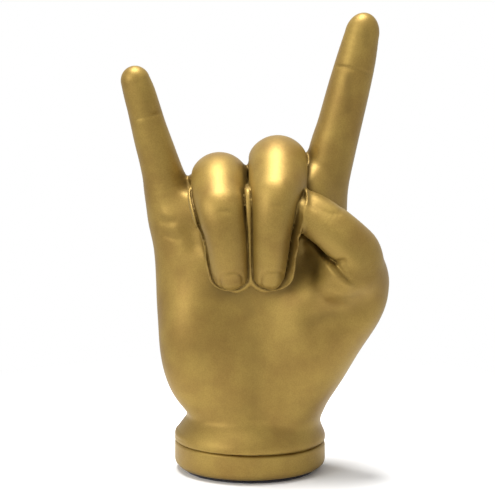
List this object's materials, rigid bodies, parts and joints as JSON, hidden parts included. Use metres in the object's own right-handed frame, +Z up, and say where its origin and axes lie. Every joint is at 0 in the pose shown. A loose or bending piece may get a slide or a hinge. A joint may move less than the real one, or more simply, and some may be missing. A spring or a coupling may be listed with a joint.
{
  "type": "ceramic hand sculpture",
  "caption": "Free-standing hollow ceramic hand with two raised fingers, folded fingers and thumb, on a beaded wrist collar with a felt base.",
  "frame": {"origin": "middle of the underside of the felt base, on the surface that the sculpture stands on", "axes": "+Z up along the wrist, -Y out of the palm, +X towards the thumb"},
  "size_m": [0.1165, 0.0685, 0.2031],
  "materials": {
    "gold_painted_ceramic": "satin gold paint",
    "bare_ceramic": "unglazed",
    "felt": "pressed felt"
  },
  "bodies": {
    "root": {"palm_shell": "gold_painted_ceramic", "index_finger": "gold_painted_ceramic", "middle_finger": "gold_painted_ceramic", "ring_finger": "gold_painted_ceramic", "little_finger": "gold_painted_ceramic", "thumb": "gold_painted_ceramic", "wrist_collar": "gold_painted_ceramic", "floor_slab": "bare_ceramic", "base_felt": "felt"}
  },
  "joints": []
}
